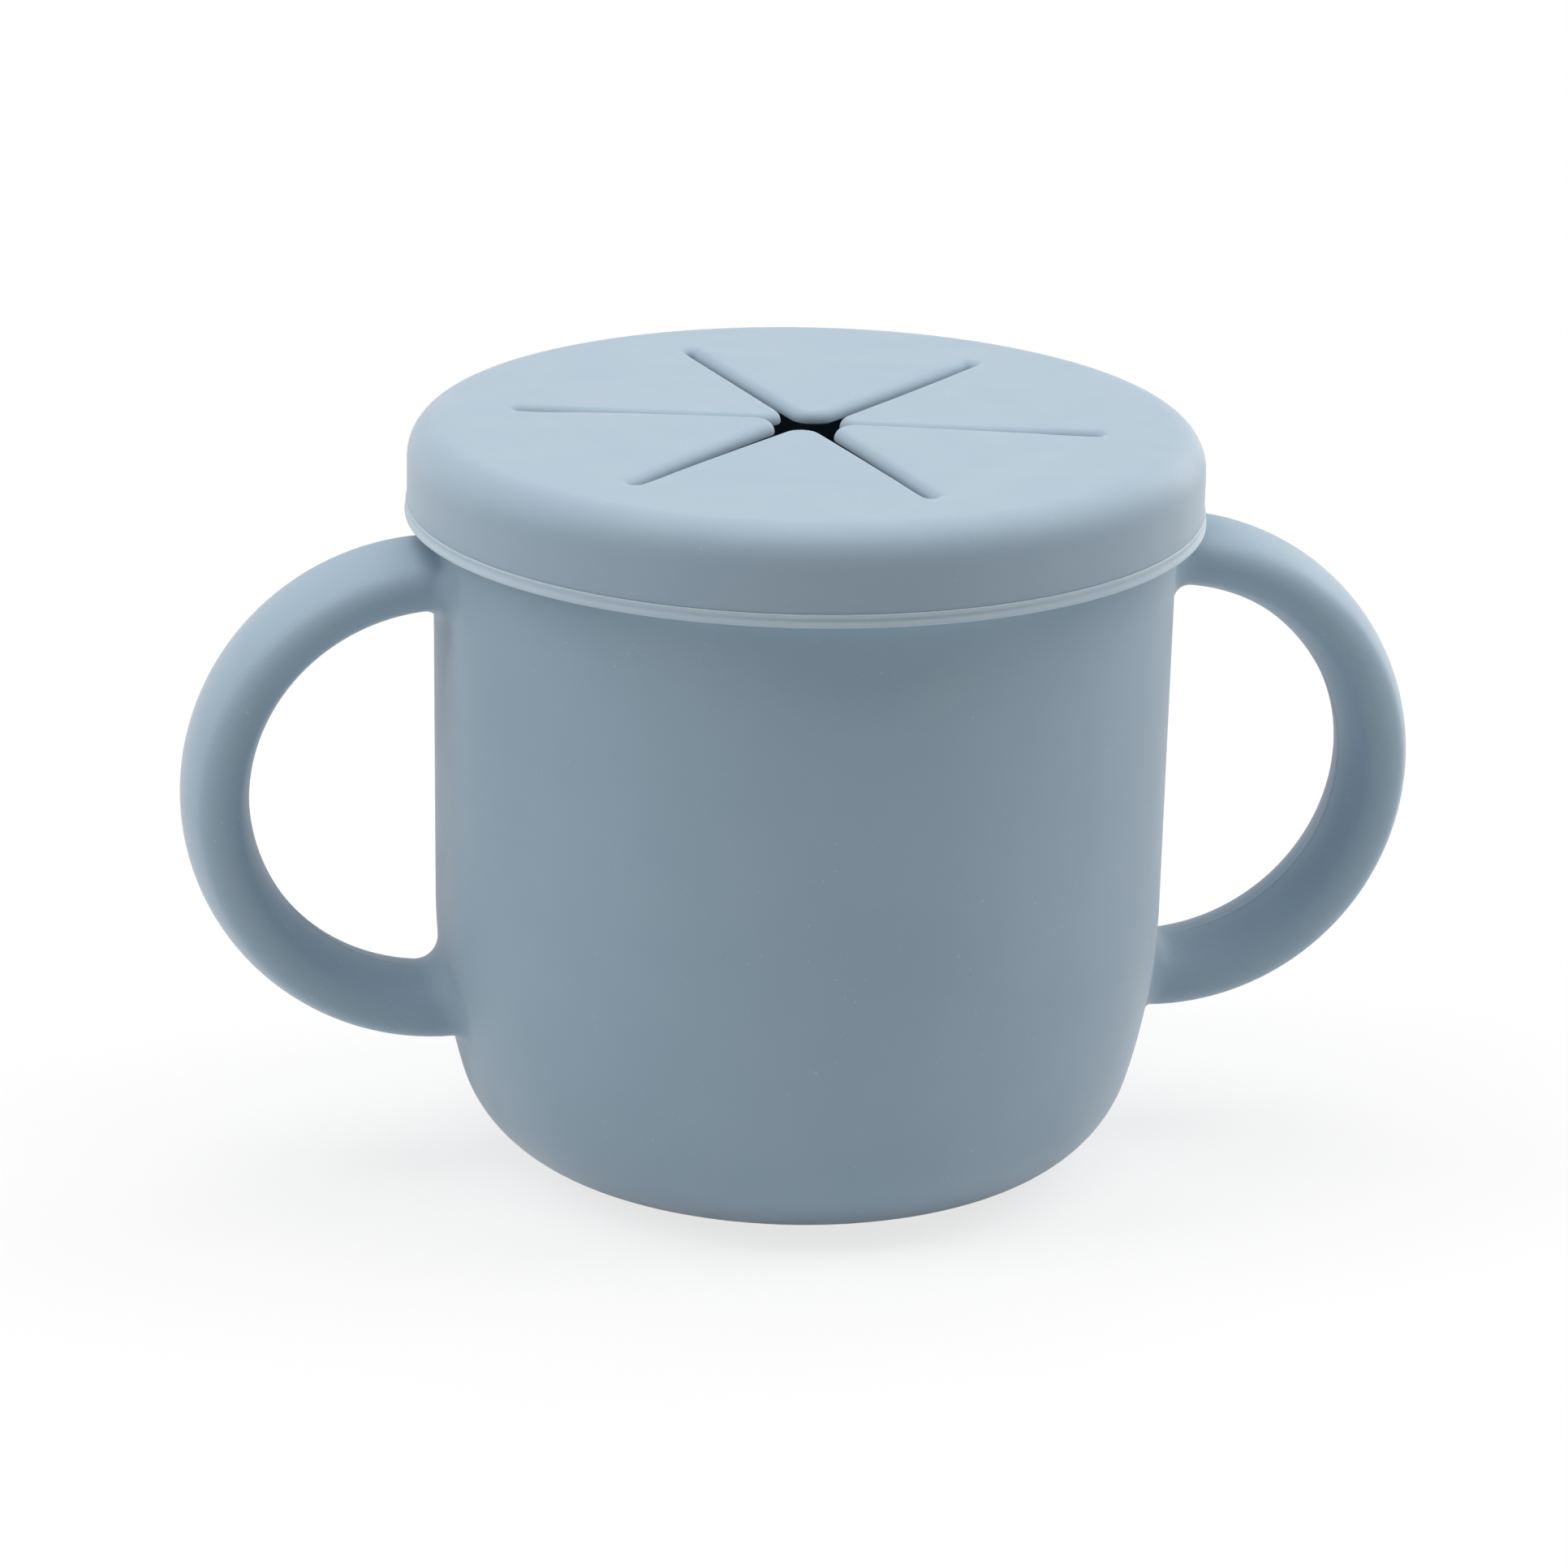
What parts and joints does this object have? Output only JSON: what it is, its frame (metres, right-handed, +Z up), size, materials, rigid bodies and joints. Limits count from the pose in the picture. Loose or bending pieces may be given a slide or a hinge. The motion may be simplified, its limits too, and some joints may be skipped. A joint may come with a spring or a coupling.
{
  "type": "toddler snack container",
  "caption": "Two-handled silicone snack cup for a toddler, with a press-on lid whose slit flaps let a hand in and keep snacks from spilling.",
  "frame": {"origin": "middle of the flat foot, on the surface that the cup stands on", "axes": "+Z up along the cup's axis, X along the line of the two handles"},
  "size_m": [0.1388, 0.0884, 0.0853],
  "materials": {
    "cup_silicone": "soft matte silicone, pale blue-grey",
    "lid_silicone": "soft matte silicone, pale blue-grey",
    "lip_silicone": "thin matte silicone, slightly lighter where light comes through"
  },
  "bodies": {
    "cup_body": {"cup": "cup_silicone", "left_handle": "cup_silicone", "right_handle": "cup_silicone"},
    "lid_body": {"lid": "lid_silicone", "lid_lip": "lip_silicone", "flap_hinge_1": "lid_silicone", "flap_hinge_2": "lid_silicone", "flap_hinge_3": "lid_silicone", "flap_hinge_4": "lid_silicone", "flap_hinge_5": "lid_silicone", "flap_hinge_6": "lid_silicone"},
    "flap_1_body": {"flap_1": "lid_silicone"},
    "flap_2_body": {"flap_2": "lid_silicone"},
    "flap_3_body": {"flap_3": "lid_silicone"},
    "flap_4_body": {"flap_4": "lid_silicone"},
    "flap_5_body": {"flap_5": "lid_silicone"},
    "flap_6_body": {"flap_6": "lid_silicone"}
  },
  "joints": [
    {"name": "lid_lift", "type": "slide", "parent": "cup_body", "child": "lid_body", "axis": [0, 0, 1], "range_m": [0, 0.06], "deforming": ["lid_lip"]},
    {"name": "flap_1_bend", "type": "hinge", "parent": "lid_body", "child": "flap_1_body", "pos_m": [0.02479, 0.00613, 0.0835], "axis": [0.2402, -0.9707, 0], "range_deg": [-55, 70], "stiffness_Nm_per_rad": 0.01, "deforming": ["flap_hinge_1"]},
    {"name": "flap_2_bend", "type": "hinge", "parent": "lid_body", "child": "flap_2_body", "pos_m": [0.00708, 0.02454, 0.0835], "axis": [0.9608, -0.2773, 0], "range_deg": [-55, 70], "stiffness_Nm_per_rad": 0.01, "deforming": ["flap_hinge_2"]},
    {"name": "flap_3_bend", "type": "hinge", "parent": "lid_body", "child": "flap_3_body", "pos_m": [-0.01771, 0.0184, 0.0835], "axis": [0.7206, 0.6934, 0], "range_deg": [-55, 70], "stiffness_Nm_per_rad": 0.01, "deforming": ["flap_hinge_3"]},
    {"name": "flap_4_bend", "type": "hinge", "parent": "lid_body", "child": "flap_4_body", "pos_m": [-0.02479, -0.00613, 0.0835], "axis": [-0.2402, 0.9707, 0], "range_deg": [-55, 70], "stiffness_Nm_per_rad": 0.01, "deforming": ["flap_hinge_4"]},
    {"name": "flap_5_bend", "type": "hinge", "parent": "lid_body", "child": "flap_5_body", "pos_m": [-0.00708, -0.02454, 0.0835], "axis": [-0.9608, 0.2773, 0], "range_deg": [-55, 70], "stiffness_Nm_per_rad": 0.01, "deforming": ["flap_hinge_5"]},
    {"name": "flap_6_bend", "type": "hinge", "parent": "lid_body", "child": "flap_6_body", "pos_m": [0.01771, -0.0184, 0.0835], "axis": [-0.7206, -0.6934, 0], "range_deg": [-55, 70], "stiffness_Nm_per_rad": 0.01, "deforming": ["flap_hinge_6"]}
  ]
}
